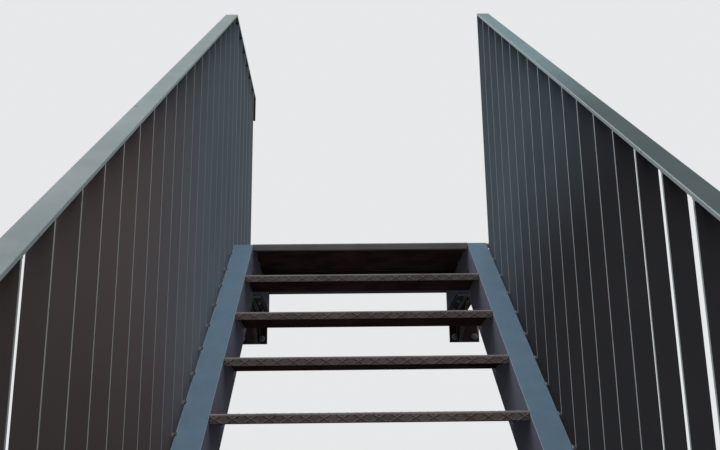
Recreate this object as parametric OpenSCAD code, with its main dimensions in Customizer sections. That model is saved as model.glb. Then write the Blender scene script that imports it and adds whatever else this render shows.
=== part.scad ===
// Wall-hung fire escape stair: one open-riser flight, slatted guards and a small landing.
// Frame: +Z up, Z = 0 at the landing's walking surface; the wall is the plane Y = 0 and
// the flight runs down towards -Y; X = 0 is the middle of the flight's width.

/* [Flight] */
// Height of one step
rise = 178; // [150:1:200]
// Depth of one step from nosing to nosing
going = 254; // [220:1:300]
// Number of treads below the landing
tread_count = 13; // [4:1:16]
// Clear width between the two stringers
clear_w = 790; // [600:5:1200]

/* [Stringers] */
// Depth of the stringer channel, square to the slope
stringer_depth = 180; // [150:1:260]
// Width of the channel's flanges
flange_w = 70; // [50:1:100]
// Thickness of the channel's web
web_t = 8; // [5:0.5:12]
// Thickness of the channel's flanges
flange_t = 10; // [6:0.5:14]
// Height of the nosings above the stringer's top flange
nosing_proud = 7; // [0:0.5:30]
// Length of stringer ahead of the bottom nosing
foot_reach = 120; // [60:5:200]

/* [Treads] */
// Depth of a tread plate
tread_depth = 245; // [200:1:290]
// Thickness of a tread plate
tread_t = 5; // [3:0.5:8]
// Height of the lip folded down along the nosing
tread_lip = 25; // [15:1:50]
// Outside radius of the fold
fold_r = 7; // [6:0.5:12]

/* [Guards] */
// Top of the rail above the nosings and above the landing
guard_h = 940; // [850:5:1200]
// Width of the flat-bar rail
rail_w = 46; // [30:1:80]
// Thickness of the rail
rail_t = 8; // [5:0.5:15]
// Width of an upright slat, square to the rail
slat_w = 38; // [20:1:60]
// Thickness of a slat
slat_t = 6; // [4:0.5:10]
// Slats to each step
slats_per_step = 2; // [1:1:4]
// Shift of the left guard's slats down the slope, against the right guard's
left_shift = 63.5; // [0:0.5:100]
// Space between the flanges' edges and the slats
slat_gap = 8; // [5:1:30]
// Length of a lug beyond each face of its slat
lug_margin = 4; // [2:1:10]
// Length of rail past the lowest slat
rail_tail = 45; // [10:5:100]

/* [Landing] */
// Depth of the landing from the wall to its nosing
landing_depth = 800; // [600:10:1500]
// Thickness of the deck plate
deck_t = 6; // [4:0.5:10]
// Height of the deck's folded front lip
deck_lip = 25; // [15:1:60]
// Depth of the side channels under the deck
side_h = 90; // [60:1:120]
// Thickness of the side channels
side_t = 6; // [4:0.5:10]
// Leg of the angles under the deck
joist_leg = 50; // [30:1:60]
// Thickness of the angles under the deck
joist_t = 5; // [3:0.5:8]
// Height of the wall angle above the walking surface
upstand_h = 95; // [60:5:150]
// Leg of the wall angle under the deck
wall_leg = 60; // [40:1:80]
// Thickness of the wall angle
wall_t = 8; // [5:0.5:12]

/* [Wall brackets] */
// Width of a bracket's wall plate
bracket_w = 130; // [110:1:200]
// Height of the wall plate under the seat
bracket_h = 134; // [110:1:250]
// Distance of the wall plate outside the stringer's inner face
bracket_inset = 7; // [0:1:20]
// Thickness of the wall plate
plate_t = 12; // [8:1:20]
// Reach of the bracket from the wall
bracket_reach = 350; // [200:10:500]
// Width of the seat plate under the side channel
seat_w = 80; // [60:1:100]
// Thickness of the seat plate
seat_t = 8; // [5:0.5:12]
// Thickness of the gusset
gusset_t = 10; // [6:0.5:14]
// Height of the gusset at its tip
gusset_tip = 20; // [10:1:40]

/* [Feet and fixings] */
// Thickness of the base plates
base_t = 12; // [8:1:25]
// Margin of the base plate round the stringer
base_margin = 45; // [30:1:80]
// Diameter of the anchor holes
anchor_d = 18; // [12:1:24]
// Diameter of the holes in the wall angle and rail plate
fixing_d = 12; // [8:1:16]
// Distance of an anchor hole from a plate's edge
edge_dist = 22; // [18:1:30]
// Width of the plate at the wall end of the landing rail
rail_plate_w = 70; // [60:1:120]
// Height of the plate at the wall end of the landing rail
rail_plate_h = 120; // [80:1:200]
// Weld gap left between pieces that meet on a slope or end to end
weld_gap = 0.3; // [0.1:0.1:0.5]

/* [Hidden] */
$fn = 48;
eps = 1;
pitch_ratio = rise / going;
slope = atan2(rise, going);
half_clear = clear_w / 2;
half_out = half_clear + flange_w;
slat_x = half_out + slat_gap;
ground_z = -(tread_count + 1) * rise;
foot_z = ground_z + base_t;
depth_v = stringer_depth / cos(slope);
flange_v = flange_t / cos(slope);
rail_v = rail_t / cos(slope);
head_y = -landing_depth + nosing_proud / pitch_ratio;
toe_y = -landing_depth - tread_count * going - foot_reach;
heel_y = -landing_depth + (foot_z + nosing_proud + depth_v) / pitch_ratio;
slat_pitch = going / slats_per_step;
slat_count = tread_count * slats_per_step + 1;
left_count = floor(slat_count - 1 - left_shift / slat_pitch) + 1;
landing_slats = floor((landing_depth + left_shift - wall_t - lug_margin) / slat_pitch);
tail_y = slat_y(slat_count - 1) - rail_tail;
side_under = -deck_t - side_h;
seat_under = side_under - seat_t;
bracket_under = seat_under - bracket_h;
gusset_x = half_clear + bracket_inset + seat_w / 2;
plate_x = half_clear + bracket_inset;
joist_y = -landing_depth / 2;
paint = [0.36, 0.44, 0.49];
dark_paint = [0.27, 0.30, 0.34];
plate_grey = [0.42, 0.41, 0.40];

function nosing_y(k) = -landing_depth - k * going;
function nosing_z(k) = -k * rise;
function line_z(y) = (y + landing_depth) * pitch_ratio;
function top_z(y) = line_z(y) - nosing_proud;
function under_z(y) = top_z(y) - depth_v;
function slat_y(k) = -landing_depth - slat_t - k * slat_pitch;
function two_digits(k) = str(k < 10 ? "0" : "", k);
function tread_name(k) = str("tread_", two_digits(k));

// Extrudes an outline drawn in Y and Z along X, from x for a width w
module along_x(x, w) {
    translate([x, 0, 0]) rotate([90, 0, 90]) linear_extrude(w) children();
}

// The same piece on the left of the flight, as a mirror image
module on_left() {
    mirror([1, 0, 0]) children();
}

// Band between two lines parallel to the slope, from y0 to y1
module slope_band(y0, y1, top, thick) {
    polygon([[y0, line_z(y0) + top - thick], [y1, line_z(y1) + top - thick],
             [y1, line_z(y1) + top], [y0, line_z(y0) + top]]);
}

// Side view of a stringer's web: plumb cuts at head and toe, level cut at the foot, and a
// level cut at the head that clears the landing's side channel
module web_outline() {
    notch_z = side_under - weld_gap;
    notch_y = -landing_depth + (notch_z + nosing_proud + flange_v) / pitch_ratio;
    half_flange = flange_v / 2;
    polygon([[toe_y, foot_z], [toe_y, top_z(toe_y) - half_flange],
             [notch_y, top_z(notch_y) - half_flange], [notch_y, notch_z],
             [head_y, notch_z], [head_y, under_z(head_y) + half_flange],
             [heel_y - half_flange / pitch_ratio, foot_z]]);
}

// Side view of the bottom flange, cut level at the foot
module bottom_flange_outline() {
    polygon([[heel_y, foot_z], [head_y, under_z(head_y)],
             [head_y, under_z(head_y) + flange_v],
             [heel_y - flange_v / pitch_ratio, foot_z]]);
}

// Channel with its web inside and its flanges pointing away from the flight
module stringer() {
    color(paint) union() {
        along_x(half_clear, web_t) web_outline();
        along_x(half_clear, flange_w) slope_band(toe_y, head_y, -nosing_proud, flange_v);
        along_x(half_clear, flange_w) bottom_flange_outline();
    }
}

// Plate folded down at its front, drawn with the nosing's top at the origin
module folded_outline(depth, thick, lip) {
    translate([fold_r, -thick]) square([depth - fold_r, thick]);
    translate([0, -lip]) square([thick, lip - fold_r]);
    translate([fold_r, -fold_r]) intersection() {
        difference() {
            circle(fold_r);
            circle(fold_r - thick);
        }
        translate([-fold_r, 0]) square(fold_r);
    }
}

// Tread k, counted down from the landing
module tread(k) {
    color(plate_grey) translate([0, nosing_y(k), nosing_z(k)])
        along_x(-half_clear + weld_gap, clear_w - 2 * weld_gap)
            folded_outline(tread_depth, tread_t, tread_lip);
}

// Base plate under a stringer's foot with its four anchor holes
module base_plate() {
    y0 = toe_y - edge_dist;
    y1 = heel_y + edge_dist;
    color(dark_paint) difference() {
        translate([half_clear - base_margin, y0, ground_z])
            cube([flange_w + 2 * base_margin, y1 - y0, base_t]);
        for (x = [half_clear - edge_dist, half_out + edge_dist])
            for (y = [y0 + edge_dist, y1 - edge_dist])
                translate([x, y, ground_z - eps]) cylinder(h = base_t + 2 * eps, d = anchor_d);
    }
}

// Lug that ties a slat to the edge of a sloping flange whose top is at z over the slope line
module slope_lug(y, z) {
    along_x(half_out, slat_gap + eps)
        slope_band(y - lug_margin, y + slat_t + lug_margin, z, flange_v);
}

// Upright slats of one flight guard, each on two lugs at the edges of the stringer's flanges
module balusters(count, shift) {
    color(dark_paint) for (k = [0:count - 1]) {
        y0 = slat_y(k) - shift;
        y1 = y0 + slat_t;
        over_foot = under_z(y0) > foot_z;
        z0 = over_foot ? under_z(y0) : foot_z;
        z1 = over_foot ? under_z(y1) : foot_z;
        union() {
            along_x(slat_x, slat_w)
                polygon([[y0, z0], [y1, z1], [y1, line_z(y1) + guard_h - rail_v],
                         [y0, line_z(y0) + guard_h - rail_v]]);
            slope_lug(y0, -nosing_proud);
            if (over_foot) slope_lug(y0, -nosing_proud - depth_v + flange_v);
        }
    }
}

// Sloping flat-bar rail on the slats
module rail() {
    color(paint) along_x(slat_x, rail_w)
        slope_band(tail_y, -landing_depth, guard_h, rail_v);
}

// Deck plate: full width behind the stringers' heads, a tongue with the lip between them
module landing_deck() {
    deck_y = head_y + weld_gap;
    color(plate_grey) {
        along_x(-half_clear + weld_gap, clear_w - 2 * weld_gap) translate([-landing_depth, 0])
            folded_outline(landing_depth - wall_t, deck_t, deck_lip);
        translate([-half_out, deck_y, -deck_t]) cube([2 * half_out, -wall_t - deck_y, deck_t]);
    }
}

// Angle of one leg size, drawn with its heel at the top front, open to the back
module angle_outline(leg_y, leg_z, thick) {
    translate([0, -thick]) square([leg_y, thick]);
    translate([0, -leg_z]) square([thick, leg_z]);
}

// Angle that stiffens the deck's front edge behind the lip
module landing_front_angle() {
    color(dark_paint) along_x(-half_clear + weld_gap, clear_w - 2 * weld_gap)
        translate([-landing_depth + fold_r, -deck_t])
            angle_outline(joist_leg, deck_lip - deck_t, joist_t);
}

// Angle across the middle of the deck's underside
module landing_joist() {
    color(dark_paint) along_x(-half_clear + weld_gap, clear_w - 2 * weld_gap)
        translate([joist_y, -deck_t]) angle_outline(joist_leg, joist_leg, joist_t);
}

// Channel along the deck's side, its front end cut to fit under the stringer's top flange
module landing_side() {
    front_y = -landing_depth - landing_depth / 2;
    color(paint) intersection() {
        translate([half_clear, front_y, side_under]) difference() {
            cube([flange_w, -front_y, side_h]);
            translate([side_t, -eps, side_t])
                cube([flange_w, -front_y + 2 * eps, side_h - 2 * side_t]);
        }
        along_x(half_clear - eps, flange_w + 2 * eps) union() {
            slope_band(front_y - eps, head_y, -nosing_proud - flange_v - weld_gap, depth_v);
            translate([head_y - eps, side_under - eps]) square([-head_y + eps, side_h + 2 * eps]);
        }
    }
}

// Angle on the wall behind the deck, one leg up the wall and one under the plate
module landing_wall_angle() {
    color(paint) difference() {
        union() {
            translate([-half_out, -wall_t, -deck_t])
                cube([2 * half_out, wall_t, upstand_h + deck_t]);
            translate([-half_clear + weld_gap, -wall_leg, -deck_t - wall_t])
                cube([clear_w - 2 * weld_gap, wall_leg, wall_t]);
            translate([-half_clear + weld_gap, -wall_t, -deck_t - wall_t])
                cube([clear_w - 2 * weld_gap, wall_t, upstand_h]);
        }
        for (x = [-0.8, -0.3, 0.3, 0.8] * half_clear)
            translate([x, eps, upstand_h / 2]) rotate([90, 0, 0])
                cylinder(h = wall_t + 2 * eps, d = fixing_d);
    }
}

// Knee bracket: wall plate, seat plate for the side channel and a tapered gusset
module wall_bracket() {
    tip_y = -bracket_reach + gusset_tip;
    color(dark_paint) difference() {
        union() {
            translate([plate_x, -plate_t, bracket_under])
                cube([bracket_w, plate_t, bracket_h + seat_t]);
            translate([plate_x, -bracket_reach, seat_under])
                cube([seat_w, bracket_reach, seat_t]);
            along_x(gusset_x, gusset_t)
                polygon([[-eps, seat_under + eps], [tip_y, seat_under + eps],
                         [tip_y, seat_under - gusset_tip],
                         [-plate_t - gusset_tip, bracket_under],
                         [-eps, bracket_under]]);
        }
        for (x = [plate_x + edge_dist, plate_x + bracket_w - edge_dist])
            for (z = [bracket_under + edge_dist, seat_under - edge_dist])
                translate([x, eps, z]) rotate([90, 0, 0])
                    cylinder(h = plate_t + 2 * eps, d = anchor_d);
    }
}

// Slats along the landing's closed side, each on two lugs at the side channel's flanges
module landing_balusters() {
    color(dark_paint) for (k = [1:landing_slats]) union() {
        translate([slat_x, slat_y(-k) - left_shift, side_under])
            cube([slat_w, slat_t, guard_h - rail_t - side_under]);
        for (z = [side_under, -deck_t - side_t])
            translate([half_out, slat_y(-k) - left_shift - lug_margin, z])
                cube([slat_gap + eps, slat_t + 2 * lug_margin, side_t]);
    }
}

// Level rail from the flight's rail to the wall
module landing_rail() {
    color(paint) translate([slat_x, -landing_depth + weld_gap, guard_h - rail_t])
        cube([rail_w, landing_depth - 2 * weld_gap - wall_t, rail_t]);
}

// Plate that fixes the level rail to the wall
module landing_rail_plate() {
    color(dark_paint) difference() {
        translate([slat_x, -wall_t, guard_h - rail_plate_h])
            cube([rail_plate_w, wall_t, rail_plate_h]);
        for (z = [guard_h - rail_plate_h + edge_dist, guard_h - rail_t - edge_dist])
            translate([slat_x + rail_plate_w / 2, eps, z]) rotate([90, 0, 0])
                cylinder(h = wall_t + 2 * eps, d = fixing_d);
    }
}

on_left() stringer();  // stringer_left
stringer();  // stringer_right
for (k = [1:tread_count])
    tread(k);
on_left() base_plate();  // base_plate_left
base_plate();  // base_plate_right
on_left() balusters(left_count, left_shift);  // balusters_left
balusters(slat_count, 0);  // balusters_right
on_left() rail();  // rail_left
rail();  // rail_right
landing_deck();
landing_front_angle();
landing_joist();
on_left() landing_side();  // landing_side_left
landing_side();  // landing_side_right
landing_wall_angle();
on_left() wall_bracket();  // wall_bracket_left
wall_bracket();  // wall_bracket_right
on_left() landing_balusters();
on_left() landing_rail();
on_left() landing_rail_plate();
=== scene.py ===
"""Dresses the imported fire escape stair: eased steel, ribbed plate, welds, bolts and weathered paint."""
import math
import bmesh
import bpy
from mathutils import Matrix, Vector


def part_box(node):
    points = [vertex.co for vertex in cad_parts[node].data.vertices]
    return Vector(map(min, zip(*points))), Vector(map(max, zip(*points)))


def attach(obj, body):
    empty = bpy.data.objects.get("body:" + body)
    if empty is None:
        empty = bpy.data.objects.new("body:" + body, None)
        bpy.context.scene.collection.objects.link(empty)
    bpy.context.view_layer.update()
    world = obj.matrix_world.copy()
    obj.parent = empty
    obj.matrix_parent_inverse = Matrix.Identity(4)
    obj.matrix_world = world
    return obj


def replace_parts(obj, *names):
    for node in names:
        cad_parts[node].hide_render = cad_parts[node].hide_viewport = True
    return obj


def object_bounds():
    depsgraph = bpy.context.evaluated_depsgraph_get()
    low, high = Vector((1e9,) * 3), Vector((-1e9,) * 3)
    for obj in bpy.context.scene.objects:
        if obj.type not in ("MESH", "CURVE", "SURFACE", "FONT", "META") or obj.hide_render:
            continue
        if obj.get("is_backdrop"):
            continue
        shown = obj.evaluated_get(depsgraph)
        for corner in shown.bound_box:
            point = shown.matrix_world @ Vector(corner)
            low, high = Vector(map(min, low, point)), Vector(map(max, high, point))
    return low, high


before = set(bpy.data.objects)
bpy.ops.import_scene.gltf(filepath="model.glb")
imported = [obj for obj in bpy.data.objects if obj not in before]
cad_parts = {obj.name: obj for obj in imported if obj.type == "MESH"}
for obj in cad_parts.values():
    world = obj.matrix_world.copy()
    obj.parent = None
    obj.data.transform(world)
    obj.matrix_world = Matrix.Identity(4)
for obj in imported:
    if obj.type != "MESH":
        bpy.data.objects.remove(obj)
cad_low, cad_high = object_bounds()

# View: an eye a metre and a half above the ground, just in front of the lowest step, that looks
# up the flight. Its place, turn and lens follow from the vanishing lines of the real stair's picture.
EYE = Vector((-0.060, -4.230, -0.945))
LOOK_UP = math.radians(16.47)
LOOK_LEFT = math.radians(-0.99)
TILT = math.radians(-0.75)
LENS_MM = 48.32
SENSOR_MM = 36.0
eye_data = bpy.data.cameras.new("eye")
eye_data.sensor_width = SENSOR_MM
eye_data.lens = LENS_MM
eye = bpy.data.objects.new("eye", eye_data)
turn = Matrix.Rotation(LOOK_LEFT, 4, "Z") @ Matrix.Rotation(math.pi / 2 + LOOK_UP, 4, "X")
eye.matrix_world = Matrix.Translation(EYE) @ turn @ Matrix.Rotation(TILT, 4, "Z")
bpy.context.scene.collection.objects.link(eye)
bpy.context.scene.camera = eye

# Wall angle: a rolled steel angle behind the deck, bolted to the wall through its upright leg.
# Hot-rolled steel has eased outer edges and a fillet in each inner corner. The frame wears a
# coat of blue-grey paint, chipped along those edges.
OUTER_EASE = 0.0012
INNER_FILLET = 0.004
CUT_EDGE_WIDTH = 0.0085
# How light the cut and eased edges are made, as wear and partly as painted highlight.
CUT_EDGE_WEAR_AND_HIGHLIGHT = 0.75
EASED_EDGE_WEAR_AND_HIGHLIGHT = 1.0
EASED_SHARE = 1.4
SHARP_CORNER = math.radians(20)
SMOOTH_BEND = math.radians(12)
FLAT_JOIN = math.radians(0.5)
SAME_WAY = 0.9999
NEARLY_SAME_WAY = 0.9995
MERGE_DISTANCE = 1e-5


def add_piece(name, bm, material):
    """Turns a finished bmesh into a piece of the stair."""
    mesh = bpy.data.meshes.new(name)
    bm.to_mesh(mesh)
    bm.free()
    mesh.materials.append(material)
    piece = bpy.data.objects.new(name, mesh)
    bpy.context.scene.collection.objects.link(piece)
    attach(piece, "root")
    return piece


def section(node):
    """The solid of a CAD node with its loose triangles joined into whole faces."""
    bm = bmesh.new()
    bm.from_mesh(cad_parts[node].data)
    bmesh.ops.remove_doubles(bm, verts=bm.verts[:], dist=MERGE_DISTANCE)
    bmesh.ops.dissolve_limit(bm, angle_limit=FLAT_JOIN, verts=bm.verts[:], edges=bm.edges[:])
    return bm


def soften(bm, ease=OUTER_EASE, fillet=INNER_FILLET):
    """Fills the inner corners of a steel shape and eases its outer edges. Marks the eased faces and the
    narrow cut ones, where the paint wears and is made lighter, partly as painted highlight."""
    flats = []
    for face in bm.faces:
        if all(face.normal.dot(normal) < SAME_WAY for normal in flats):
            flats.append(face.normal.copy())
    for radius, convex in ((fillet, False), (ease, True)):
        edges = [e for e in bm.edges if e.is_manifold and e.is_convex == convex
                 and e.calc_face_angle() > SHARP_CORNER]
        if radius and edges:
            bmesh.ops.bevel(bm, geom=edges, offset=radius, offset_type="OFFSET", segments=2,
                            profile=0.5, affect="EDGES", clamp_overlap=True, material=-1)
    bmesh.ops.dissolve_degenerate(bm, dist=MERGE_DISTANCE / 10, edges=bm.edges[:])
    eased = bm.faces.layers.float.new("eased")
    flat_faces = set()
    for face in bm.faces:
        face.smooth = True
        longest = max(face.edges, key=lambda e: e.calc_length())
        width = face.calc_area() / longest.calc_length()
        if any(face.normal.dot(normal) > NEARLY_SAME_WAY for normal in flats):
            flat_faces.add(face)
            goes_on = any(other != face and other.normal.dot(face.normal) > SAME_WAY
                          for other in longest.link_faces)
            face[eased] = CUT_EDGE_WEAR_AND_HIGHLIGHT if width < CUT_EDGE_WIDTH and not goes_on else 0.0
        elif width < EASED_SHARE * ease:
            face[eased] = EASED_EDGE_WEAR_AND_HIGHLIGHT
    for edge in bm.edges:
        edge.smooth = (edge.calc_face_angle(math.pi) < SMOOTH_BEND
                       or not any(face in flat_faces for face in edge.link_faces))


def steel(node, name, material, ease=OUTER_EASE, fillet=INNER_FILLET):
    """A rolled or cut steel piece in place of its CAD node."""
    bm = section(node)
    soften(bm, ease, fillet)
    piece = add_piece(name, bm, material)
    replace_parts(piece, node)
    return piece


def group(name, inputs, outputs):
    """An empty shader node group with its sockets, and its two ends."""
    tree = bpy.data.node_groups.new(name, "ShaderNodeTree")
    for socket, (kind, default) in inputs.items():
        made = tree.interface.new_socket(socket, in_out="INPUT", socket_type="NodeSocket" + kind)
        made.default_value = default
    for socket, kind in outputs.items():
        tree.interface.new_socket(socket, in_out="OUTPUT", socket_type="NodeSocket" + kind)
    return tree, tree.nodes.new("NodeGroupInput").outputs, tree.nodes.new("NodeGroupOutput").inputs


def noise_field(tree, position, scale, detail=3.0, rough=0.55, stretch=None):
    """A noise value over Object coordinates, scaled in repeats a metre."""
    if stretch:
        mapping = tree.nodes.new("ShaderNodeMapping")
        mapping.inputs["Scale"].default_value = stretch
        tree.links.new(position, mapping.inputs["Vector"])
        position = mapping.outputs["Vector"]
    field = tree.nodes.new("ShaderNodeTexNoise")
    field.inputs["Scale"].default_value = scale
    field.inputs["Detail"].default_value = detail
    field.inputs["Roughness"].default_value = rough
    tree.links.new(position, field.inputs["Vector"])
    return field.outputs["Fac"]


def step_between(tree, value, low, high, flip=False):
    """A smooth mask that rises from 0 to 1 as the value goes from low to high, or falls with FLIP."""
    ramp = tree.nodes.new("ShaderNodeMapRange")
    ramp.interpolation_type = "SMOOTHSTEP"
    ramp.inputs["From Min"].default_value = low
    ramp.inputs["From Max"].default_value = high
    ramp.inputs["To Min"].default_value = 1.0 if flip else 0.0
    ramp.inputs["To Max"].default_value = 0.0 if flip else 1.0
    tree.links.new(value, ramp.inputs["Value"])
    return ramp.outputs["Result"]


def combine(tree, operation, a, b, clamp=False):
    """One arithmetic step on two values, each a socket or a number."""
    node = tree.nodes.new("ShaderNodeMath")
    node.operation = operation
    node.use_clamp = clamp
    for socket, value in zip(node.inputs, (a, b)):
        if isinstance(value, (int, float)):
            socket.default_value = value
        else:
            tree.links.new(value, socket)
    return node.outputs["Value"]


def times(tree, a, b, clamp=False):
    """The product of two values."""
    return combine(tree, "MULTIPLY", a, b, clamp)


def plus(tree, a, b, clamp=False):
    """The sum of two values."""
    return combine(tree, "ADD", a, b, clamp)


def minus(tree, a, b, clamp=False):
    """The difference of two values."""
    return combine(tree, "SUBTRACT", a, b, clamp)


def spread(tree, value, low, high):
    """A value that runs from LOW to HIGH where the given one runs from 0 to 1."""
    return plus(tree, times(tree, value, high - low), low)


def axes(tree, vector):
    """The X, Y and Z of a vector."""
    node = tree.nodes.new("ShaderNodeSeparateXYZ")
    tree.links.new(vector, node.inputs["Vector"])
    return node.outputs["X"], node.outputs["Y"], node.outputs["Z"]


def marked(tree, name):
    """The mark that a piece's faces carry under a name."""
    node = tree.nodes.new("ShaderNodeAttribute")
    node.attribute_name = name
    return node.outputs["Fac"]


def blend_colour(tree, mask, under, over):
    """Lays one colour over another where the mask says. Each is a socket or a colour."""
    node = tree.nodes.new("ShaderNodeMix")
    node.data_type = "RGBA"
    tree.links.new(mask, node.inputs["Factor"])
    for socket, value in ((node.inputs["A"], under), (node.inputs["B"], over)):
        if isinstance(value, tuple):
            socket.default_value = (*value, 1.0)
        else:
            tree.links.new(value, socket)
    return node.outputs["Result"]


def lightened(tree, paint, lift):
    """A colour made lighter or darker by a value round 1."""
    node = tree.nodes.new("ShaderNodeHueSaturation")
    tree.links.new(paint, node.inputs["Color"])
    tree.links.new(lift, node.inputs["Value"])
    return node.outputs["Color"]


# Below a level that tilts along the flight and drifts, the coat darkens the paint as painted shade with some
# dirt.
SHADE_AND_DIRT_DEPTH = 0.67
SHADE_AND_DIRT_TILT = 0.17
SHADE_AND_DIRT_DRIFT = 0.3
LOWER_FLIGHT_Y = -2.6
UPPER_FLIGHT_Y = -1.2
# Painted shade: a near-black laid on what faces down and on the marked lugs.
UNDERSIDE_SHADE = 0.75
PAINTED_SHADE = (0.050, 0.046, 0.046)
# The light colour of worn edges, partly a painted highlight.
RUBBED_PAINT_AND_HIGHLIGHT = (0.43, 0.48, 0.475)
CHIPPED_PAINT = (0.15, 0.105, 0.080)
RUST_BLOOM = (0.17, 0.065, 0.028)
RUN_STRETCH = (1.0, 1.0, 0.08)
web_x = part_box("stringer_right")[0].x


def browned_shaded_and_dirtied(tree, coat, colour, down_flight, level):
    """Lays the coat's browning over a colour down the flight, and below its own level a darker colour that is
    painted shade with some dirt.
    """
    brown = times(tree, down_flight, coat["Browning Amount"])
    colour = blend_colour(tree, brown, colour, coat["Browning"])
    low_down = step_between(tree, minus(tree, coat["Grime Top"], level), 0.0, SHADE_AND_DIRT_DEPTH)
    return blend_colour(tree, low_down, colour, coat["Grime"])


def painted_shade_beneath(tree, colour, facing, edge):
    """Lays painted shade on what faces down, and where the mesh marks its faces below zero."""
    beneath = times(tree, step_between(tree, facing, -0.9, -0.4, flip=True), UNDERSIDE_SHADE)
    held = times(tree, edge, -1.0, clamp=True)
    return blend_colour(tree, combine(tree, "MAXIMUM", beneath, held), colour, PAINTED_SHADE)


def dust_film(tree, coat, spot, across, facing, facing_up, runs):
    """How thick the dust lies: patches on what faces up, and streaks on upright faces inside the webs."""
    patches = step_between(tree, noise_field(tree, spot, scale=7.0, detail=5.0, rough=0.65), 0.34, 0.72)
    lying = times(tree, patches, spread(tree, facing_up, 0.25, 1.0))
    lying = times(tree, lying, coat["Dust Amount"], clamp=True)
    upright = step_between(tree, combine(tree, "ABSOLUTE", facing, 0.0), 0.15, 0.5, flip=True)
    from_middle = combine(tree, "ABSOLUTE", across, 0.0)
    inside = step_between(tree, from_middle, web_x + 0.001, web_x + 0.003, flip=True)
    streaks = spread(tree, step_between(tree, runs, 0.15, 0.75), 0.35, 0.75)
    hanging = times(tree, times(tree, upright, inside), times(tree, streaks, coat["Side Dust"]))
    return combine(tree, "MAXIMUM", lying, hanging)


def paint_coat_group():
    """Brushed enamel on steel, with slow shade drift, browning down the flight, painted shade with some dirt
    low down, painted shade beneath, dust, worn edges made lighter partly as painted highlight, and rust.
    """
    tree, coat, made = group(
        "paint_coat",
        {"Paint": ("Color", (0.2, 0.2, 0.2, 1)), "Dust": ("Color", (0.2, 0.18, 0.16, 1)),
         "Dust Amount": ("Float", 0.3), "Wear": ("Float", 0.5), "Rust": ("Float", 0.2),
         "Dullness": ("Float", 0.4), "Side Dust": ("Float", 0.0), "Grime": ("Color", (0.05, 0.05, 0.05, 1)),
         "Grime Top": ("Float", -10.0), "Browning": ("Color", (0.17, 0.12, 0.11, 1)),
         "Browning Amount": ("Float", 0.0), "Top Fade": ("Float", 0.0)},
        {"Color": "Color", "Roughness": "Float", "Metallic": "Float", "Height": "Float", "Washed": "Float"})
    place = tree.nodes.new("ShaderNodeTexCoord").outputs
    spot = place["Object"]
    across, along, height = axes(tree, spot)
    facing = axes(tree, place["Normal"])[2]
    facing_up = step_between(tree, facing, 0.1, 0.9)
    edge = marked(tree, "eased")
    drift = noise_field(tree, spot, scale=2.2, detail=4.0)
    fine = noise_field(tree, spot, scale=95.0, detail=2.0)
    runs = noise_field(tree, spot, scale=26.0, rough=0.6, stretch=RUN_STRETCH)
    specks = noise_field(tree, spot, scale=130.0, rough=0.6)

    # The brushed paint, browner down the flight, darkened low down as painted shade with some dirt, darkened
    # beneath as painted shade, and dusty on top.
    lift = times(tree, spread(tree, drift, 0.83, 1.17), spread(tree, runs, 0.89, 1.11))
    colour = lightened(tree, coat["Paint"], lift)
    down_flight = step_between(tree, along, LOWER_FLIGHT_Y, UPPER_FLIGHT_Y, flip=True)
    level = plus(tree, height, times(tree, along, SHADE_AND_DIRT_TILT))
    level = plus(tree, level, times(tree, minus(tree, drift, 0.5), SHADE_AND_DIRT_DRIFT))
    colour = painted_shade_beneath(tree, browned_shaded_and_dirtied(tree, coat, colour, down_flight, level), facing, edge)
    film = dust_film(tree, coat, spot, across, facing, facing_up, runs)
    colour = blend_colour(tree, film, colour, coat["Dust"])

    # Edges are rubbed light, less so towards the top, and chipped here and there to the primer. The light rub
    # is partly a painted highlight.
    bite = step_between(tree, noise_field(tree, spot, scale=38.0, detail=5.0, rough=0.7), 0.58, 0.70)
    faded = times(tree, minus(tree, 1.0, down_flight), coat["Top Fade"])
    worn = times(tree, combine(tree, "MAXIMUM", edge, 0.0), minus(tree, 1.0, faded))
    rubbed_and_highlight = times(tree, worn, coat["Wear"])
    chip = times(tree, times(tree, worn, bite), coat["Wear"], clamp=True)
    colour = blend_colour(tree, rubbed_and_highlight, colour, RUBBED_PAINT_AND_HIGHLIGHT)
    colour = blend_colour(tree, chip, colour, CHIPPED_PAINT)

    # Rust blooms in a few patches of specks.
    patches = noise_field(tree, spot, scale=5.5, detail=6.0, rough=0.72)
    bloom = times(tree, step_between(tree, patches, 0.56, 0.70), step_between(tree, specks, 0.55, 0.66))
    bloom = times(tree, bloom, coat["Rust"], clamp=True)
    tree.links.new(blend_colour(tree, bloom, colour, RUST_BLOOM), made["Color"])

    # Dust, chips and rust are duller than paint, which has a fine grain.
    dull = plus(tree, coat["Dullness"], times(tree, film, 0.35))
    dull = plus(tree, dull, times(tree, plus(tree, chip, bloom), 0.3))
    tree.links.new(plus(tree, dull, times(tree, drift, 0.10), clamp=True), made["Roughness"])
    tree.links.new(times(tree, rubbed_and_highlight, 0.15), made["Metallic"])
    skin = plus(tree, times(tree, fine, 0.35), times(tree, specks, 0.15))
    tree.links.new(minus(tree, skin, times(tree, chip, 0.8)), made["Height"])
    tree.links.new(facing_up, made["Washed"])
    return tree


PAINT_COAT = paint_coat_group()
PAINT_GRAIN = (0.35, 0.0008)
WASHED_GLOSS = 0.25
GLOSS_ROUGHNESS = 0.35


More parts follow.
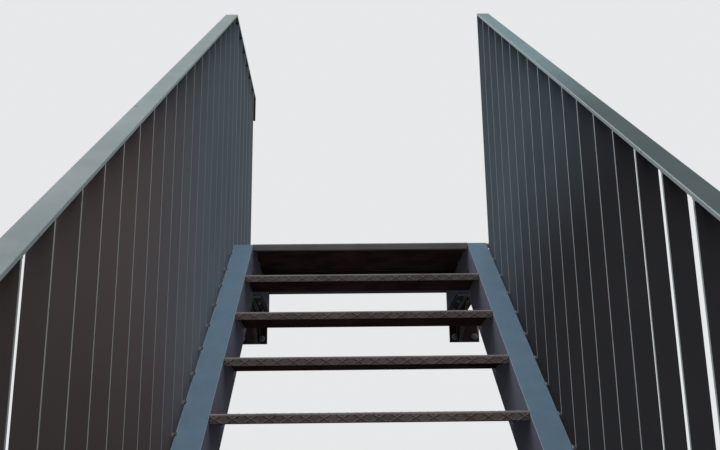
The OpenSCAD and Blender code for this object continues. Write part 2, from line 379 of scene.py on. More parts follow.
def coated(name, coat_group, grain, **values):
    """A material of one coat, with a grain of some strength and depth. VALUES are the coat's inputs, with
    underscores for the spaces in their names. Returns the material, its shader and its coat."""
    material = bpy.data.materials.new(name)
    material.use_nodes = True
    tree = material.node_tree
    shader = tree.nodes["Principled BSDF"]
    shader.inputs["Specular IOR Level"].default_value = 0.0
    coat = tree.nodes.new("ShaderNodeGroup")
    coat.node_tree = coat_group
    for mark, value in values.items():
        socket = coat.inputs[mark.replace("_", " ").title()]
        socket.default_value = (*value, 1) if isinstance(value, tuple) else value
    bump = tree.nodes.new("ShaderNodeBump")
    bump.inputs["Strength"].default_value, bump.inputs["Distance"].default_value = grain
    tree.links.new(coat.outputs["Color"], shader.inputs["Base Color"])
    tree.links.new(coat.outputs["Roughness"], shader.inputs["Roughness"])
    tree.links.new(coat.outputs["Metallic"], shader.inputs["Metallic"])
    tree.links.new(coat.outputs["Height"], bump.inputs["Height"])
    tree.links.new(bump.outputs["Normal"], shader.inputs["Normal"])
    return material, shader, coat


def painted(name, **values):
    """A painted steel finish: rain keeps what faces up glossy, and the rest is matt, with the coat's painted
    shade and dirt.
    """
    material, shader, coat = coated(name, PAINT_COAT, PAINT_GRAIN, **values)
    shader.inputs["Coat Roughness"].default_value = GLOSS_ROUGHNESS
    tree = material.node_tree
    tree.links.new(times(tree, coat.outputs["Washed"], WASHED_GLOSS), shader.inputs["Coat Weight"])
    return material


FRAME_PAINT = painted("frame_paint", paint=(0.115, 0.182, 0.240), dust=(0.165, 0.118, 0.145),
                      dust_amount=0.12, wear=0.32, rust=0.35, dullness=0.45, side_dust=1.0)
BOLT_PAINT = painted("bolt_paint", paint=(0.13, 0.14, 0.145), dust=(0.16, 0.12, 0.09),
                     dust_amount=0.5, wear=0.7, rust=1.0, dullness=0.5)
ANGLE_THICKNESS = 0.008
ANCHOR_SHARES = (-0.68, -0.255, 0.255, 0.68)
SMALL_THREAD = 0.010
LARGE_THREAD = 0.016
STUD_SHY = 0.0001
WASHER_SIDES = 20
NUT_SIDES = 6
STUD_SIDES = 12
WASHER_TOP = 0.17
NUT_TOP = 0.97
THREAD_START = 0.1
HALF_PITCH = 0.06
THREAD_STEPS = 9
STUD_TOP = 0.47
RUBBED_BAND = 0.8


def join(bm, part):
    """Adds a part to the shape that it belongs to."""
    mesh = bpy.data.meshes.new("part")
    part.to_mesh(mesh)
    part.free()
    bm.from_mesh(mesh)
    bpy.data.meshes.remove(mesh)


def turned(bm, place, sides, outline, worn=()):
    """A closed solid spun from an outline of radius and height, each higher than the last, and set in its
    PLACE. WORN numbers the bands of the outline that are rubbed."""
    part = bmesh.new()
    eased = part.faces.layers.float.new("eased")
    corners = [part.verts.new((radius, 0, height)) for radius, height in outline]
    edges = [part.edges.new(pair) for pair in zip(corners, corners[1:])]
    bmesh.ops.spin(part, geom=corners + edges, cent=(0, 0, 0), axis=(0, 0, 1), angle=math.tau,
                   steps=sides, use_merge=True)
    for face in part.faces:
        middle = face.calc_center_median().z
        band = sum(height < middle for radius, height in outline) - 1
        face[eased] = RUBBED_BAND if band in worn else 0.0
        face.smooth = sides > NUT_SIDES
    open_edges = [e for e in part.edges if e.is_boundary]
    for cap in bmesh.ops.holes_fill(part, edges=open_edges, sides=sides)["faces"]:
        cap[eased] = 0.0
        cap.smooth = False
    bmesh.ops.recalc_face_normals(part, faces=part.faces[:])
    bmesh.ops.transform(part, matrix=place, verts=part.verts[:])
    join(bm, part)


def fixing(bm, spot, out, thread, depth):
    """A stud that stands DEPTH deep behind a face, with its washer and hexagon nut before the face.
    The outlines are in sizes of its THREAD."""
    place = (Matrix.Translation(spot) @ Vector(out).to_track_quat("Z", "Y").to_matrix().to_4x4()
             @ Matrix.Scale(thread, 4))
    turned(bm, place, WASHER_SIDES,
           [(0.76, 0.0), (0.80, 0.03), (0.80, WASHER_TOP - 0.04), (0.76, WASHER_TOP)], worn=(2,))
    turned(bm, place, NUT_SIDES,
           [(0.78, WASHER_TOP), (0.866, WASHER_TOP + 0.09), (0.866, NUT_TOP - 0.09), (0.78, NUT_TOP)],
           worn=(0, 2))
    grooves = [(0.46 if turn % 2 else 0.5, NUT_TOP - THREAD_START + turn * HALF_PITCH)
               for turn in range(THREAD_STEPS)]
    turned(bm, place, STUD_SIDES, [(0.45, -depth / thread), *grooves, (0.38, NUT_TOP + STUD_TOP)])


steel("landing_wall_angle", "wall_angle", FRAME_PAINT)
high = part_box("landing_wall_angle")[1]
bm = bmesh.new()
for share in ANCHOR_SHARES:
    fixing(bm, (share * high.x, -ANGLE_THICKNESS, high.z / 2), (0, -1, 0), SMALL_THREAD,
           ANGLE_THICKNESS - STUD_SHY)
add_piece("wall_angle_bolts", bm, BOLT_PAINT)

# Wall brackets: welded knee brackets of plate that carry the landing's side channels.
# Each is a wall plate with four anchors, a seat plate and a tapered gusset between them, in a coat darker
# than the flight's, a dark maroon that is painted shade under the landing, with weld beads in the corners.
# The dark maroon coat of the brackets and of the deck's angle and joist is painted shade under the landing.
BRACKET_PAINT = painted("bracket_paint", paint=(0.041, 0.023, 0.022), dust=(0.07, 0.048, 0.044),
                        dust_amount=0.25, wear=0.6, rust=0.35, dullness=0.55)
WELD_PAINT = painted("weld_paint", paint=(0.070, 0.085, 0.095), dust=(0.15, 0.12, 0.10),
                     dust_amount=0.4, wear=0.5, rust=0.9, dullness=0.5)
PLATE = 0.012
SEAT = 0.008
SEAT_WIDTH = 0.080
GUSSET = 0.010
EDGE_DISTANCE = 0.022
SEAT_BOLTS_Y = (-0.10, -0.27)
SEAT_BOLT_INSET = 0.016
SEAT_STUD_SHY = 0.001
UPPER_STUD = 0.002
SIDE_FLANGE = 0.006
BEAD_END = 0.006
BEAD_CORNER = 0.008
BEAD_MARGIN = 0.004
BEAD_LEG = 0.005
BEAD_ROOT = 0.12
BEAD_SHOULDER = 0.28
BEAD_RISE = 0.16
RIPPLE = 0.005
RIPPLE_VALLEY = 0.80
RIPPLE_END = 0.6
BEAD_WEAR = 0.25


def bead(bm, start, end, one, other, leg=BEAD_LEG, crown=None, ripple=RIPPLE):
    """A rippled weld bead from START to END, in the corner between two faces that run ONE way and the
    OTHER from it, or on a flat joint with its CROWN given. It is drawn plain and then swells and thins."""
    start, end, one, other = (Vector(v) for v in (start, end, one, other))
    crown = Vector(crown) if crown else (one + other).normalized()
    run = end - start
    rings = 2 * max(1, round(run.length / ripple))
    part = bmesh.new()
    eased = part.faces.layers.float.new("eased")
    outline = [part.verts.new(leg * offset) for offset in (
        -BEAD_ROOT * crown, one, one.lerp(other, BEAD_SHOULDER) + BEAD_RISE * crown,
        other.lerp(one, BEAD_SHOULDER) + BEAD_RISE * crown, other)]
    drawn = bmesh.ops.extrude_face_region(part, geom=[part.faces.new(outline)])
    far = [v for v in drawn["geom"] if isinstance(v, bmesh.types.BMVert)]
    bmesh.ops.translate(part, verts=far, vec=run)
    for face in part.faces:
        if len(face.verts) < len(outline):
            face.smooth = True
            face[eased] = BEAD_WEAR if outline[2] in face.verts else 0.0
    along = [e for e in part.edges if (e.verts[0] in far) != (e.verts[1] in far)]
    bmesh.ops.subdivide_edges(part, edges=along, cuts=rings - 1)
    for vert in part.verts:
        share = vert.co.dot(run) / run.length_squared
        ring = round(share * rings)
        swell = RIPPLE_END if ring in (0, rings) else 1.0 if ring % 2 else RIPPLE_VALLEY
        vert.co = run * share + (vert.co - run * share) * swell
    bmesh.ops.recalc_face_normals(part, faces=part.faces[:])
    bmesh.ops.translate(part, verts=part.verts[:], vec=start)
    join(bm, part)


for side, sign in (("left", -1), ("right", 1)):
    steel(f"wall_bracket_{side}", f"bracket_{side}", BRACKET_PAINT)
    low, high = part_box(f"wall_bracket_{side}")
    inner = sign * min(abs(low.x), abs(high.x))
    seat_under = high.z - SEAT
    bm = bmesh.new()
    for x in (low.x + EDGE_DISTANCE, high.x - EDGE_DISTANCE):
        for z in (low.z + EDGE_DISTANCE, seat_under - EDGE_DISTANCE):
            fixing(bm, (x, -PLATE, z), (0, -1, 0), LARGE_THREAD, PLATE - STUD_SHY)
    for y in SEAT_BOLTS_Y:
        bolt_x = inner + sign * SEAT_BOLT_INSET
        fixing(bm, (bolt_x, y, seat_under), (0, 0, -1), SMALL_THREAD, SEAT + SIDE_FLANGE - SEAT_STUD_SHY)
        fixing(bm, (bolt_x, y, high.z + SIDE_FLANGE), (0, 0, 1), SMALL_THREAD, UPPER_STUD)
    add_piece(f"bracket_{side}_bolts", bm, BOLT_PAINT)
    bm = bmesh.new()
    middle = inner + sign * SEAT_WIDTH / 2
    for flank in (-1, 1):
        x = middle + flank * GUSSET / 2
        bead(bm, (x, low.y + BEAD_END, seat_under), (x, -PLATE - BEAD_CORNER, seat_under),
             (flank, 0, 0), (0, 0, -1))
        bead(bm, (x, -PLATE, seat_under - BEAD_CORNER), (x, -PLATE, low.z + BEAD_END),
             (flank, 0, 0), (0, -1, 0))
    bead(bm, (inner + sign * BEAD_MARGIN, -PLATE, seat_under),
         (inner + sign * (SEAT_WIDTH - BEAD_MARGIN), -PLATE, seat_under), (0, -1, 0), (0, 0, -1))
    add_piece(f"bracket_{side}_welds", bm, WELD_PAINT)

# Landing frame: side channels in the flight's paint, and in the brackets' dark coat, which is painted shade,
# an angle behind the deck's nosing and a joist at mid-depth. The channels are welded to the deck plate above
# them, and the angle and the joist to the channels.
DECK_BEADS_Y = (-0.70, -0.55, -0.30, -0.15)
DECK_BEAD_LENGTH = 0.05
UPRIGHT_BEAD_SHY = 0.002
for side in ("left", "right"):
    steel(f"landing_side_{side}", f"side_channel_{side}", FRAME_PAINT)
for node in ("landing_front_angle", "landing_joist"):
    steel(node, node.replace("landing_", "deck_"), BRACKET_PAINT)
deck_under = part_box("landing_joist")[1].z
bm = bmesh.new()
for sign in (-1, 1):
    x = sign * web_x
    for y in DECK_BEADS_Y:
        bead(bm, (x, y, deck_under), (x, y + DECK_BEAD_LENGTH, deck_under), (-sign, 0, 0), (0, 0, -1))
    for node in ("landing_front_angle", "landing_joist"):
        low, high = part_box(node)
        bead(bm, (x, low.y, low.z + UPRIGHT_BEAD_SHY), (x, low.y, high.z - UPRIGHT_BEAD_SHY),
             (-sign, 0, 0), (0, -1, 0))
add_piece("landing_welds", bm, WELD_PAINT)

# Stringers: rolled channels with the web inside and the flanges turned away from the flight,
# cut plumb at the head and toe and level at the foot.
STRINGER_EASE = 0.0015
STRINGER_FILLET = 0.006
CHANNEL_WEB = 0.008
CHANNEL_WIDTH = 0.070
CHANNEL_DEPTH = 0.180
CHANNEL_FLANGE = 0.010
for side in ("left", "right"):
    steel(f"stringer_{side}", f"channel_{side}", FRAME_PAINT, STRINGER_EASE, STRINGER_FILLET)

# Base plates: thick plates under the channels' feet, each held down by four anchors.
# The channel's web is welded down to its plate along both faces.
FOOT_PAINT = painted("foot_plate", paint=(0.075, 0.095, 0.115), dust=(0.20, 0.17, 0.14),
                     dust_amount=0.6, wear=0.9, rust=0.8, dullness=0.5)
FOOT_EDGE_DISTANCE = 0.023
FOOT_BEAD_LEG = 0.007
TOE_CLEAR = 0.024
HEEL_CLEAR = 0.050
for side, sign in (("left", -1), ("right", 1)):
    steel(f"base_plate_{side}", f"foot_{side}", FOOT_PAINT)
    low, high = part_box(f"base_plate_{side}")
    bm = bmesh.new()
    for x in (low.x + FOOT_EDGE_DISTANCE, high.x - FOOT_EDGE_DISTANCE):
        for y in (low.y + EDGE_DISTANCE, high.y - EDGE_DISTANCE):
            fixing(bm, (x, y, high.z), (0, 0, 1), LARGE_THREAD, high.z - low.z - STUD_SHY)
    add_piece(f"foot_{side}_anchors", bm, BOLT_PAINT)
    bm = bmesh.new()
    for x, away in ((sign * web_x, -sign), (sign * (web_x + CHANNEL_WEB), sign)):
        bead(bm, (x, low.y + TOE_CLEAR, high.z), (x, high.y - HEEL_CLEAR, high.z), (away, 0, 0), (0, 0, 1),
             FOOT_BEAD_LEG)
    add_piece(f"foot_{side}_welds", bm, WELD_PAINT)

# Treads: steel plate with crossing raised ribs, folded down along the nosing into a lip.
# The paint is worn, feet keep the nosing bare, and it is lighter where it faces up, partly as a painted
# highlight. The dust of shoes has settled between the ribs, and the undersides are painted near black as
# painted shade. The ends of each tread are welded to the channels' webs, with beads painted dark as painted
# shade.
RIB_PITCH = 0.045
RIB_ANGLE = math.radians(30)
RIB_WIDTH = 0.0058
RIB_TOP = 0.0014
RIB_HEIGHT = 0.0017
RIB_ROOT = 0.0004
RIB_OVERRUN = 0.01
RIB_SINK = 0.005
RIB_MARGIN = 0.002
LIP_MARGIN = 0.0012
BACK_MARGIN = 0.001
FOLD_RADIUS = 0.007
FOLD_SLANT = 0.1
NOSING_LEAST = 0.35
NOSING_BARE = 0.014
PLATE_EASE = 0.0008
TREAD_THICKNESS = 0.005
TREAD_BEAD_LEG = 0.0045
TREAD_BEAD_FRONT = 0.012
TREAD_BEAD_BACK = 0.004
RUBBED_RIB = (0.25, 0.24, 0.23)
PLATE_RUST = (0.13, 0.055, 0.030)
# The bare nosing's colour, laid more where it faces up, partly a painted highlight.
BARE_NOSING_AND_HIGHLIGHT = (0.27, 0.255, 0.24)
# Near-black colours for the plates' undersides, as painted shade.
TREAD_UNDERSIDE_SHADE = ((0.028, 0.014, 0.013), (0.048, 0.027, 0.025))
PLATE_GRAIN = (0.4, 0.001)


def fold_over(bm, front_y, top_z, fold=FOLD_RADIUS):
    """Bends ribs drawn flat over the rounded nosing. Y is the distance along the plate's skin
    from the foot of the lip, and Z the height above the skin."""
    lip = nosing_lip - fold
    arc = fold * math.pi / 2
    for vert in bm.verts:
        along, rise = vert.co.y, vert.co.z
        if along < lip:
            vert.co.y = front_y - rise
            vert.co.z = top_z - nosing_lip + along
        elif along < lip + arc:
            angle = (along - lip) / fold
            vert.co.y = front_y + fold - (fold + rise) * math.cos(angle)
            vert.co.z = top_z - fold + (fold + rise) * math.sin(angle)
        else:
            vert.co.y = front_y + fold + along - lip - arc
            vert.co.z = top_z + rise


def crossing_ribs(half_width, start, length):
    """Two families of slanting ribs on a flat sheet, trimmed to its edges."""
    bm = bmesh.new()
    run = (length + RIB_SINK) / math.tan(RIB_ANGLE)
    reach = (length + RIB_SINK) / math.sin(RIB_ANGLE) + 2 * RIB_OVERRUN
    count = int((2 * half_width + run) / RIB_PITCH) + 2
    outline = [(-RIB_WIDTH / 2, -RIB_ROOT), (-RIB_TOP / 2, RIB_HEIGHT),
               (RIB_TOP / 2, RIB_HEIGHT), (RIB_WIDTH / 2, -RIB_ROOT)]
    for lean in (1, -1):
        slant = Matrix.Rotation(RIB_ANGLE if lean == 1 else math.pi - RIB_ANGLE, 4, "Z")
        for index in range(count):
            foot_x = lean * (-half_width - run + (index + 0.5) * RIB_PITCH)
            end_verts = [bm.verts.new((-RIB_OVERRUN, y, z)) for y, z in outline]
            drawn = bmesh.ops.extrude_face_region(bm, geom=[bm.faces.new(end_verts)])
            far = [v for v in drawn["geom"] if isinstance(v, bmesh.types.BMVert)]
            bmesh.ops.translate(bm, verts=far, vec=(reach, 0, 0))
            place = Matrix.Translation((foot_x, start - RIB_SINK, 0)) @ slant
            bmesh.ops.transform(bm, matrix=place, verts=end_verts + far)
    bmesh.ops.recalc_face_normals(bm, faces=bm.faces[:])
    for point, outward in (((half_width, 0, 0), (1, 0, 0)), ((-half_width, 0, 0), (-1, 0, 0)),
                           ((0, start, 0), (0, -1, 0)), ((0, start + length, 0), (0, 1, 0))):
        everything = bm.verts[:] + bm.edges[:] + bm.faces[:]
        bmesh.ops.bisect_plane(bm, geom=everything, plane_co=point, plane_no=outward, clear_outer=True)
        open_edges = [e for e in bm.edges if e.is_boundary]
        bmesh.ops.holes_fill(bm, edges=open_edges, sides=8)
    return bm


def join_ribs(bm, ribs):
    """Adds the ribs to their plate and marks them, so that the paint can wear on them."""
    mark = ribs.faces.layers.float.new("rib")
    for face in ribs.faces:
        face[mark] = 1.0
    join(bm, ribs)


def mark_nosing(bm, front_y):
    """Marks the rounded nosing, which feet keep bare of paint and dust, more where it faces up, which is
    partly a painted highlight.
    """
    bare_and_highlit = bm.faces.layers.float.new("nosing")
    for face in bm.faces:
        centre = face.calc_center_median()
        if centre.y < front_y + FOLD_RADIUS and face.normal.z > FOLD_SLANT and face.normal.y < -FOLD_SLANT:
            face[bare_and_highlit] = NOSING_LEAST + (1 - NOSING_LEAST) * face.normal.z


def ribbed_coat_group():
    """Worn enamel on ribbed plate: the ribs are rubbed to a duller grey and dust lies between them."""
    tree, coat, made = group(
        "ribbed_coat",
        {"Paint": ("Color", (0.12, 0.11, 0.10, 1)), "Dust": ("Color", (0.2, 0.17, 0.14, 1)),
         "Dust Amount": ("Float", 0.5), "Rust": ("Float", 0.3)},
        {"Color": "Color", "Roughness": "Float", "Metallic": "Float", "Height": "Float"})
    place = tree.nodes.new("ShaderNodeTexCoord").outputs
    spot = place["Object"]
    below = step_between(tree, axes(tree, place["Normal"])[2], -0.8, -0.5, flip=True)
    rib = marked(tree, "rib")
    bare_and_highlit = marked(tree, "nosing")
    blotch = noise_field(tree, spot, scale=9.0, detail=5.0, rough=0.62)
    grit = noise_field(tree, spot, scale=220.0, detail=2.0, rough=0.6)
    patches = noise_field(tree, spot, scale=14.0, detail=6.0, rough=0.7)

    # The blotched paint, with dust between the ribs, whose tops are rubbed.
    colour = lightened(tree, coat["Paint"], spread(tree, blotch, 0.65, 1.35))
    settle = step_between(tree, plus(tree, blotch, times(tree, grit, 0.25)), 0.42, 0.86)
    settle = times(tree, settle, coat["Dust Amount"], clamp=True)
    settle = times(tree, settle, minus(tree, 1.0, times(tree, rib, 0.6)))
    colour = blend_colour(tree, settle, colour, coat["Dust"])
    polish = times(tree, rib, step_between(tree, grit, 0.3, 0.7))
    colour = blend_colour(tree, times(tree, polish, 0.5), colour, RUBBED_RIB)
    # Rust blooms, the nosing is bare and lighter where it faces up, partly as painted highlight, and the
    # underside is painted near black as painted shade.
    bloom = times(tree, step_between(tree, patches, 0.57, 0.68), coat["Rust"], clamp=True)
    colour = blend_colour(tree, bloom, colour, PLATE_RUST)
    colour = blend_colour(tree, times(tree, bare_and_highlit, step_between(tree, blotch, 0.2, 0.6)), colour, BARE_NOSING_AND_HIGHLIGHT)
    shaded_underside = blend_colour(tree, step_between(tree, blotch, 0.35, 0.65), *TREAD_UNDERSIDE_SHADE)
    tree.links.new(blend_colour(tree, below, colour, shaded_underside), made["Color"])

    # Dust is dull, rubbed ribs shine a little, and grit and rust are rough to the touch.
    dull = plus(tree, 0.52, times(tree, settle, 0.35))
    tree.links.new(minus(tree, dull, times(tree, polish, 0.12), clamp=True), made["Roughness"])
    tree.links.new(times(tree, polish, 0.35), made["Metallic"])
    rough = plus(tree, times(tree, grit, 0.2), times(tree, bloom, 0.5))
    tree.links.new(times(tree, rough, minus(tree, 1.0, below)), made["Height"])
    return tree


RIBBED_COAT = ribbed_coat_group()


def ribbed(name, **values):
    """The finish of a ribbed plate."""
    return coated(name, RIBBED_COAT, PLATE_GRAIN, **values)[0]


TREAD_PLATE = ribbed("tread_plate", paint=(0.146, 0.116, 0.103), dust=(0.24, 0.200, 0.172),
                     dust_amount=0.50, rust=0.35)
treads = sorted(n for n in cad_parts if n.startswith("tread_"))
low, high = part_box(treads[0])
nosing_lip = high.z - low.z
half_tread = (high.x - low.x) / 2 - RIB_MARGIN
lip_flat = nosing_lip - FOLD_RADIUS
top_start = lip_flat + FOLD_RADIUS * math.pi / 2
top_flat = high.y - low.y - FOLD_RADIUS
for node in treads:
    low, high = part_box(node)
    bm = section(node)
    soften(bm, PLATE_EASE, 0)
    mark_nosing(bm, low.y)
    for start, length in ((LIP_MARGIN, lip_flat - LIP_MARGIN),
                          (top_start + NOSING_BARE, top_flat - NOSING_BARE - BACK_MARGIN)):
        ribs = crossing_ribs(half_tread, start, length)
        fold_over(ribs, low.y, high.z)
        join_ribs(bm, ribs)
    name = node.replace("tread", "step")
    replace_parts(add_piece(name, bm, TREAD_PLATE), node)
    bm = bmesh.new()
    for sign in (-1, 1):
        x, z = sign * web_x, high.z - TREAD_THICKNESS
        bead(bm, (x, low.y + TREAD_BEAD_FRONT, z), (x, high.y - TREAD_BEAD_BACK, z),
             (-sign, 0, 0), (0, 0, -1), TREAD_BEAD_LEG)
    # The beads under the tread take the dark bracket coat as painted shade.
    add_piece(name + "_welds", bm, BRACKET_PAINT)

# Deck: one ribbed plate from wall to nosing, wider behind the stringers' heads, with its front
# folded down like a tread's. Its lip is plain, and it is less dusty and rusty than the treads.
DECK_PLATE = ribbed("deck_plate", paint=(0.195, 0.180, 0.182), dust=(0.24, 0.215, 0.20),
                    dust_amount=0.30, rust=0.12)
WALL_MARGIN = 0.012
low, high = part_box("landing_deck")
nosing_y = low.y
bm = section("landing_deck")
soften(bm, PLATE_EASE, 0)
mark_nosing(bm, nosing_y)
ribs_y = nosing_y + FOLD_RADIUS + NOSING_BARE
ribs = crossing_ribs(half_tread, 0.0, high.y - WALL_MARGIN - ribs_y)
bmesh.ops.translate(ribs, verts=ribs.verts[:], vec=(0, ribs_y, high.z))
join_ribs(bm, ribs)
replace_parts(add_piece("deck", bm, DECK_PLATE), "landing_deck")

# Slats: upright flat bars set edge-on to the flight, each welded to the rail above it and to two lugs at the
# channel's flanges. The left guard has more and lighter dust and is browner down the flight, and lower down
# it darkens as painted shade with some dirt. The right guard's paint and dust are darker, and lower down it
# darkens further, all painted shade. The lugs of both are darkened as painted shade. The landing's slats are
# the left guard's, on the side channel.
SLAT_PAINT = {
    "left": painted("slat_paint_left", paint=(0.172, 0.205, 0.230), dust=(0.18, 0.155, 0.145),
                    dust_amount=0.35, wear=0.8, rust=0.30, dullness=0.45,
                    browning=(0.178, 0.140, 0.134), browning_amount=1.0,
                    grime=(0.095, 0.075, 0.072), grime_top=-0.74, top_fade=0.6),
    "right": painted("slat_paint_right", paint=(0.152, 0.188, 0.214), dust=(0.12, 0.105, 0.10),
                     dust_amount=0.20, wear=1.15, rust=0.30, dullness=0.45,
                     grime=(0.058, 0.054, 0.058), grime_top=-0.09, top_fade=0.35)}
# The left guard's welds are painted near black as painted shade; the right guard's are lighter.
GUARD_WELD = {
    "left": painted("guard_weld_left", paint=(0.030, 0.032, 0.036), dust=(0.05, 0.04, 0.035),
                    dust_amount=0.3, wear=0.1, rust=1.0, dullness=0.5),
    "right": painted("guard_weld_right", paint=(0.105, 0.120, 0.128), dust=(0.15, 0.12, 0.10),
                     dust_amount=0.3, wear=0.9, rust=1.0, dullness=0.5)}
SLAT_EASE = 0.0008
SLAT_THICKNESS = 0.006
LUG_MARGIN = 0.004
LUG_REACH = 0.008
# How dark the lugs are painted, as painted shade.
LUG_SHADE = 0.4
GROUND_CLEAR = 0.03
NOSING_PROUD = 0.007
RAIL_THICKNESS = 0.008
RAIL_BEAD_LEG = 0.004
LUG_BEAD_LEG = 0.0035
LUG_BEAD_CROWN = 2.2
LUG_RIPPLE = 0.0045
first_step, next_step = (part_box(node)[1] for node in treads[:2])
pitch_ratio = (first_step.z - next_step.z) / (first_step.y - next_step.y)
slat_pitch = (first_step.y - next_step.y) / 2
down_slope = Vector((0, -1, -pitch_ratio)).normalized()
off_slope = Vector((0, -pitch_ratio, 1)).normalized()
flange_edge = web_x + CHANNEL_WIDTH
slat_near, slat_far = flange_edge + LUG_REACH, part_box("balusters_right")[1].x
rail_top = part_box("rail_right")[1].z
upper_lug = -NOSING_PROUD
lower_lug = upper_lug - (CHANNEL_DEPTH - CHANNEL_FLANGE) / off_slope.z


def climb(y):
    """The height that the slope's line gains from the landing's nosing to Y."""
    return pitch_ratio * (y - nosing_y)


def under_sloping_rail(y):
    """The height of a sloping rail's underside at Y."""
    return rail_top - RAIL_THICKNESS / off_slope.z + climb(y)


def under_level_rail(y):
    """The height of the landing rail's underside, which is the same at any Y."""
    return rail_top - RAIL_THICKNESS


def rail_beads(bm, sign, y, down, under_rail):
    """Beads that tie the slat with its lower face at Y to the rail above it, in a guard that runs DOWN
    one way. UNDER_RAIL gives the height of the rail's underside."""
    for face_y, way in ((y, 1), (y + SLAT_THICKNESS, -1)):
        z = under_rail(face_y)
        bead(bm, (sign * slat_near, face_y, z), (sign * slat_far, face_y, z), down * way, (0, 0, -1),
             RAIL_BEAD_LEG)


def lug_beads(bm, sign, y):
    """Beads that tie the two lugs of the slat with its lower face at Y to the sloping flanges' edges."""
    x = sign * flange_edge
    low_y, high_y = y - LUG_MARGIN, y + SLAT_THICKNESS + LUG_MARGIN
    for top in (upper_lug, lower_lug):
        if top + climb(low_y) >= cad_low.z + GROUND_CLEAR:
            bead(bm, (x, low_y, top + climb(low_y)), (x, high_y, top + climb(high_y)),
                 (1, 0, 0), (-1, 0, 0), LUG_BEAD_LEG, off_slope * LUG_BEAD_CROWN, LUG_RIPPLE)


def shade_lugs(piece):
    """Marks the lugs, which the coat darkens as painted shade."""
    for polygon, mark in zip(piece.data.polygons, piece.data.attributes["eased"].data):
        if abs(polygon.center.x) < slat_near - 0.0002:
            mark.value = -LUG_SHADE


for side, sign in (("left", -1), ("right", 1)):
    shade_lugs(steel(f"balusters_{side}", f"slats_{side}", SLAT_PAINT[side], SLAT_EASE, 0))
    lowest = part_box(f"balusters_{side}")[0].y + LUG_MARGIN
    bm = bmesh.new()
    for k in range(int((nosing_y - lowest) / slat_pitch) + 1):
        y = lowest + k * slat_pitch
        rail_beads(bm, sign, y, down_slope, under_sloping_rail)
        lug_beads(bm, sign, y)
    if side == "left":
        low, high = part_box("landing_balusters")
        first_y, last_y = low.y + LUG_MARGIN, high.y - LUG_MARGIN - SLAT_THICKNESS
        for k in range(round((last_y - first_y) / slat_pitch) + 1):
            rail_beads(bm, sign, first_y + k * slat_pitch, Vector((0, -1, 0)), under_level_rail)
    add_piece(f"guard_{side}_welds", bm, GUARD_WELD[side])
shade_lugs(steel("landing_balusters", "landing_slats", SLAT_PAINT["left"], SLAT_EASE, 0))

# Rails: flat bars that follow the slope and run level along the landing's left side. Each sloping one has a
# butt joint, welded and ground, of which a short mark shows at the outer edge. The left rail's paint and pale
# dust are lighter as a painted reflection of the sky; the right one is darker, and both darken lower down, as
# painted shade.
RAIL_PAINT = {
    "left": painted("rail_paint_left", paint=(0.255, 0.310, 0.305), dust=(0.33, 0.36, 0.35),
                    dust_amount=0.45, wear=0.5, rust=0.30, dullness=0.40,
                    grime=(0.175, 0.215, 0.215), grime_top=-0.50),
    "right": painted("rail_paint_right", paint=(0.180, 0.272, 0.282), dust=(0.15, 0.17, 0.17),
                     dust_amount=0.15, wear=0.9, rust=0.20, dullness=0.45,
                     grime=(0.064, 0.092, 0.094), grime_top=0.06)}
RAIL_JOINT = {"left": (1.47, 0.009), "right": (1.295, 0.019)}
JOINT_INSET = 0.0015
JOINT_SINK = 0.0002
JOINT_LEG = 0.0045
JOINT_CROWN = 0.5
JOINT_RIPPLE = 0.004
rail_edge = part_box("rail_right")[1].x - JOINT_INSET
bm = bmesh.new()
for side, sign in (("left", -1), ("right", 1)):
    steel(f"rail_{side}", f"rail_bar_{side}", RAIL_PAINT[side])
    down, length = RAIL_JOINT[side]
    y, z = nosing_y - down, rail_top - pitch_ratio * down - JOINT_SINK
    bead(bm, (sign * (rail_edge - length), y, z), (sign * rail_edge, y, z),
         down_slope, -down_slope, JOINT_LEG, off_slope * JOINT_CROWN, JOINT_RIPPLE)
steel("landing_rail", "landing_rail_bar", RAIL_PAINT["left"])
add_piece("rail_joints", bm, BRACKET_PAINT)

# Rail end: a small dark plate that holds the landing's rail to the wall with two anchors,
# one near its foot and one under the rail.
steel("landing_rail_plate", "rail_end_plate", BRACKET_PAINT)
low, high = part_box("landing_rail_plate")
bm = bmesh.new()
for z in (low.z + EDGE_DISTANCE, high.z - RAIL_THICKNESS - EDGE_DISTANCE):
    fixing(bm, ((low.x + high.x) / 2, low.y, z), (0, -1, 0), SMALL_THREAD, high.y - low.y - STUD_SHY)
add_piece("rail_end_bolts", bm, BOLT_PAINT)

# Studio: a pale floor at ground level and a pale surround, which the camera and reflections
# see. The light is an overcast sky, bright overhead and dim below, with a large soft lamp
# on the upper left and a weak one on the right.
FLOOR_RADIUS = 60.0
FLOOR_DROP = 0.0005
FLOOR_SHOWN = (0.66, 0.66, 0.66)
FLOOR_SHEDS = (0.16, 0.16, 0.16)
SURROUND_SHOWN = (0.80, 0.81, 0.82, 1)
SKY_BELOW = (0.17, 0.17, 0.18)
SKY_ABOVE = (0.95, 1.0, 1.06)
bpy.context.scene.view_settings.view_transform = "Standard"
bm = bmesh.new()
bmesh.ops.create_circle(bm, cap_ends=True, segments=64, radius=FLOOR_RADIUS)
bmesh.ops.translate(bm, verts=bm.verts[:], vec=(0, 0, cad_low.z - FLOOR_DROP))
floor_mesh = bpy.data.meshes.new("floor")
bm.to_mesh(floor_mesh)
bm.free()
floor = bpy.data.objects.new("floor", floor_mesh)
bpy.context.scene.collection.objects.link(floor)
floor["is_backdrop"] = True


def shown_ray(tree):
    """Is 1 for the camera's own rays and for reflected and transmitted ones, and 0 for light that spreads."""
    path = tree.nodes.new("ShaderNodeLightPath").outputs
    shown = combine(tree, "MAXIMUM", path["Is Camera Ray"], path["Is Glossy Ray"])
    return combine(tree, "MAXIMUM", shown, path["Is Transmission Ray"])


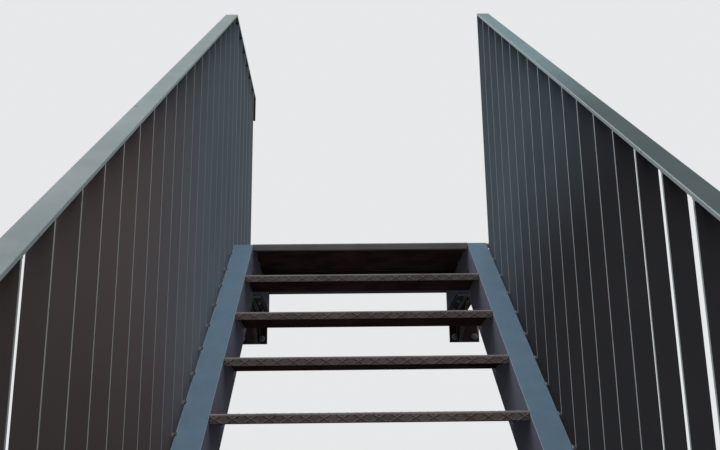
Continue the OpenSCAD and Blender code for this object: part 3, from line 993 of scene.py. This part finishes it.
floor_paint = bpy.data.materials.new("floor_paint")
floor_paint.use_nodes = True
tree = floor_paint.node_tree
tone = blend_colour(tree, shown_ray(tree), FLOOR_SHEDS, FLOOR_SHOWN)
tree.links.new(tone, tree.nodes["Principled BSDF"].inputs["Base Color"])
tree.nodes["Principled BSDF"].inputs["Roughness"].default_value = 0.9
floor_mesh.materials.append(floor_paint)

world = bpy.data.worlds.new("surround")
world.use_nodes = True
tree = world.node_tree
lit = tree.nodes["Background"]
way = tree.nodes.new("ShaderNodeTexCoord")
rise = axes(tree, way.outputs["Generated"])[2]
sky = blend_colour(tree, step_between(tree, rise, -0.1, 0.85), SKY_BELOW, SKY_ABOVE)
tree.links.new(sky, lit.inputs["Color"])
lit.inputs["Strength"].default_value = 1.0
seen = tree.nodes.new("ShaderNodeBackground")
seen.inputs["Color"].default_value = SURROUND_SHOWN
seen.inputs["Strength"].default_value = 1.0
pick = tree.nodes.new("ShaderNodeMixShader")
tree.links.new(shown_ray(tree), pick.inputs[0])
tree.links.new(lit.outputs["Background"], pick.inputs[1])
tree.links.new(seen.outputs["Background"], pick.inputs[2])
tree.links.new(pick.outputs["Shader"], tree.nodes["World Output"].inputs["Surface"])
bpy.context.scene.world = world


def lamp(name, place, target, size, power, colour):
    """A soft rectangular lamp that faces a point and doesn't show itself."""
    data = bpy.data.lights.new(name, "AREA")
    data.shape = "RECTANGLE"
    data.size, data.size_y = size
    data.energy = power
    data.color = colour
    made = bpy.data.objects.new(name, data)
    made.visible_camera = False
    made.matrix_world = (Matrix.Translation(place)
                         @ (Vector(target) - Vector(place)).to_track_quat("-Z", "Y").to_matrix().to_4x4())
    bpy.context.scene.collection.objects.link(made)


lamp("sky_lamp", place=(-5.0, 1.0, 6.5), target=(0, -1.8, -0.6), size=(7.0, 7.0), power=320,
     colour=(0.95, 0.98, 1.0))
lamp("side_lamp", place=(5.5, 0.8, 0.6), target=(0.4, -2.0, -1.0), size=(5.0, 3.0), power=60,
     colour=(1.0, 0.98, 0.96))

low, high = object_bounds()
